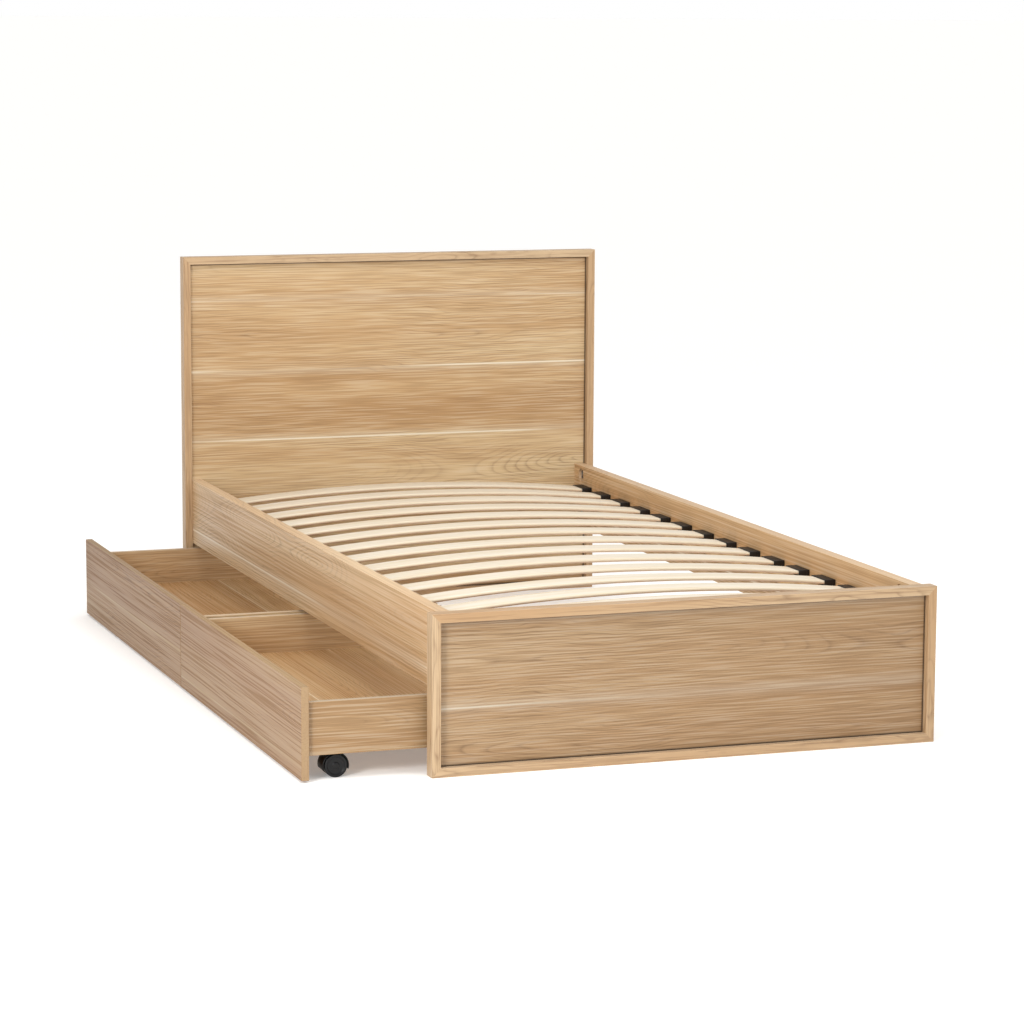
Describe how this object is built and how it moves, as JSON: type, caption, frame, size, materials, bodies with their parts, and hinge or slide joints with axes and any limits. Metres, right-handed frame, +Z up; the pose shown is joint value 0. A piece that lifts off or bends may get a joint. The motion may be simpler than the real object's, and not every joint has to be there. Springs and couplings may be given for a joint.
{
  "type": "platform bed with storage drawers",
  "caption": "Single platform bed with framed head and foot panels, arched sprung slats and wheeled drawers that roll out from under one side rail.",
  "frame": {"origin": "centre of the footboard's base, on the floor", "axes": "+X across the bed, away from the drawer side; +Y from footboard to headboard; +Z up"},
  "size_m": [1.377, 2.075, 0.905],
  "materials": {
    "oak_laminate": "light oak-look laminate on board, satin",
    "pine": "planed softwood batten",
    "beech_slat": "bentwood veneer slat, pale, unvarnished",
    "holder_plastic": "moulded black plastic",
    "zinc_steel": "bright zinc plate",
    "caster_nylon": "black moulded nylon",
    "wheel_plastic": "black moulded nylon wheel, satin"
  },
  "bodies": {
    "bed_frame": {"headboard_panel": "oak_laminate", "headboard_top_board": "oak_laminate", "headboard_bottom_board": "oak_laminate", "headboard_left_board": "oak_laminate", "headboard_right_board": "oak_laminate", "footboard_panel": "oak_laminate", "footboard_top_board": "oak_laminate", "footboard_bottom_board": "oak_laminate", "footboard_left_board": "oak_laminate", "footboard_right_board": "oak_laminate", "left_rail": "oak_laminate", "left_ledger": "pine", "right_rail": "oak_laminate", "right_ledger": "pine", "slat_01": "beech_slat", "slat_02": "beech_slat", "slat_03": "beech_slat", "slat_04": "beech_slat", "slat_05": "beech_slat", "slat_06": "beech_slat", "slat_07": "beech_slat", "slat_08": "beech_slat", "slat_09": "beech_slat", "slat_10": "beech_slat", "slat_11": "beech_slat", "slat_12": "beech_slat", "slat_13": "beech_slat", "slat_14": "beech_slat", "slat_holders": "holder_plastic", "rail_bolt_sets": "zinc_steel"},
    "foot_drawer": {"foot_drawer_front": "oak_laminate", "foot_drawer_foot_side": "oak_laminate", "foot_drawer_head_side": "oak_laminate", "foot_drawer_back": "oak_laminate", "foot_drawer_tray": "oak_laminate", "foot_drawer_caster_plates": "zinc_steel", "foot_drawer_screws": "zinc_steel"},
    "foot_drawer_caster_front_foot": {"foot_drawer_hood_front_foot": "caster_nylon"},
    "foot_drawer_wheel_pair_front_foot": {"foot_drawer_wheels_front_foot": "wheel_plastic"},
    "foot_drawer_caster_front_head": {"foot_drawer_hood_front_head": "caster_nylon"},
    "foot_drawer_wheel_pair_front_head": {"foot_drawer_wheels_front_head": "wheel_plastic"},
    "foot_drawer_caster_back_foot": {"foot_drawer_hood_back_foot": "caster_nylon"},
    "foot_drawer_wheel_pair_back_foot": {"foot_drawer_wheels_back_foot": "wheel_plastic"},
    "foot_drawer_caster_back_head": {"foot_drawer_hood_back_head": "caster_nylon"},
    "foot_drawer_wheel_pair_back_head": {"foot_drawer_wheels_back_head": "wheel_plastic"},
    "head_drawer": {"head_drawer_front": "oak_laminate", "head_drawer_foot_side": "oak_laminate", "head_drawer_head_side": "oak_laminate", "head_drawer_back": "oak_laminate", "head_drawer_tray": "oak_laminate", "head_drawer_caster_plates": "zinc_steel", "head_drawer_screws": "zinc_steel"},
    "head_drawer_caster_front_foot": {"head_drawer_hood_front_foot": "caster_nylon"},
    "head_drawer_wheel_pair_front_foot": {"head_drawer_wheels_front_foot": "wheel_plastic"},
    "head_drawer_caster_front_head": {"head_drawer_hood_front_head": "caster_nylon"},
    "head_drawer_wheel_pair_front_head": {"head_drawer_wheels_front_head": "wheel_plastic"},
    "head_drawer_caster_back_foot": {"head_drawer_hood_back_foot": "caster_nylon"},
    "head_drawer_wheel_pair_back_foot": {"head_drawer_wheels_back_foot": "wheel_plastic"},
    "head_drawer_caster_back_head": {"head_drawer_hood_back_head": "caster_nylon"},
    "head_drawer_wheel_pair_back_head": {"head_drawer_wheels_back_head": "wheel_plastic"}
  },
  "joints": [
    {"name": "foot_drawer_slide", "type": "slide", "parent": "bed_frame", "child": "foot_drawer", "axis": [-1, 0, 0], "range_m": [-0.262, 0.33]},
    {"name": "foot_drawer_swivel_front_foot", "type": "hinge", "parent": "foot_drawer", "child": "foot_drawer_caster_front_foot", "pos_m": [-0.752, 0.072, 0.05], "axis": [0, 0, 1], "continuous": true},
    {"name": "foot_drawer_spin_front_foot", "type": "hinge", "parent": "foot_drawer_caster_front_foot", "child": "foot_drawer_wheel_pair_front_foot", "pos_m": [-0.738, 0.072, 0.024], "axis": [0, 1, 0], "continuous": true},
    {"name": "foot_drawer_swivel_front_head", "type": "hinge", "parent": "foot_drawer", "child": "foot_drawer_caster_front_head", "pos_m": [-0.752, 0.967, 0.05], "axis": [0, 0, 1], "continuous": true},
    {"name": "foot_drawer_spin_front_head", "type": "hinge", "parent": "foot_drawer_caster_front_head", "child": "foot_drawer_wheel_pair_front_head", "pos_m": [-0.738, 0.967, 0.024], "axis": [0, 1, 0], "continuous": true},
    {"name": "foot_drawer_swivel_back_foot", "type": "hinge", "parent": "foot_drawer", "child": "foot_drawer_caster_back_foot", "pos_m": [-0.254, 0.072, 0.05], "axis": [0, 0, 1], "continuous": true},
    {"name": "foot_drawer_spin_back_foot", "type": "hinge", "parent": "foot_drawer_caster_back_foot", "child": "foot_drawer_wheel_pair_back_foot", "pos_m": [-0.24, 0.072, 0.024], "axis": [0, 1, 0], "continuous": true},
    {"name": "foot_drawer_swivel_back_head", "type": "hinge", "parent": "foot_drawer", "child": "foot_drawer_caster_back_head", "pos_m": [-0.254, 0.967, 0.05], "axis": [0, 0, 1], "continuous": true},
    {"name": "foot_drawer_spin_back_head", "type": "hinge", "parent": "foot_drawer_caster_back_head", "child": "foot_drawer_wheel_pair_back_head", "pos_m": [-0.24, 0.967, 0.024], "axis": [0, 1, 0], "continuous": true},
    {"name": "head_drawer_slide", "type": "slide", "parent": "bed_frame", "child": "head_drawer", "axis": [-1, 0, 0], "range_m": [-0.262, 0.33]},
    {"name": "head_drawer_swivel_front_foot", "type": "hinge", "parent": "head_drawer", "child": "head_drawer_caster_front_foot", "pos_m": [-0.752, 1.074, 0.05], "axis": [0, 0, 1], "continuous": true},
    {"name": "head_drawer_spin_front_foot", "type": "hinge", "parent": "head_drawer_caster_front_foot", "child": "head_drawer_wheel_pair_front_foot", "pos_m": [-0.738, 1.074, 0.024], "axis": [0, 1, 0], "continuous": true},
    {"name": "head_drawer_swivel_front_head", "type": "hinge", "parent": "head_drawer", "child": "head_drawer_caster_front_head", "pos_m": [-0.752, 1.969, 0.05], "axis": [0, 0, 1], "continuous": true},
    {"name": "head_drawer_spin_front_head", "type": "hinge", "parent": "head_drawer_caster_front_head", "child": "head_drawer_wheel_pair_front_head", "pos_m": [-0.738, 1.969, 0.024], "axis": [0, 1, 0], "continuous": true},
    {"name": "head_drawer_swivel_back_foot", "type": "hinge", "parent": "head_drawer", "child": "head_drawer_caster_back_foot", "pos_m": [-0.254, 1.074, 0.05], "axis": [0, 0, 1], "continuous": true},
    {"name": "head_drawer_spin_back_foot", "type": "hinge", "parent": "head_drawer_caster_back_foot", "child": "head_drawer_wheel_pair_back_foot", "pos_m": [-0.24, 1.074, 0.024], "axis": [0, 1, 0], "continuous": true},
    {"name": "head_drawer_swivel_back_head", "type": "hinge", "parent": "head_drawer", "child": "head_drawer_caster_back_head", "pos_m": [-0.254, 1.969, 0.05], "axis": [0, 0, 1], "continuous": true},
    {"name": "head_drawer_spin_back_head", "type": "hinge", "parent": "head_drawer_caster_back_head", "child": "head_drawer_wheel_pair_back_head", "pos_m": [-0.24, 1.969, 0.024], "axis": [0, 1, 0], "continuous": true}
  ]
}
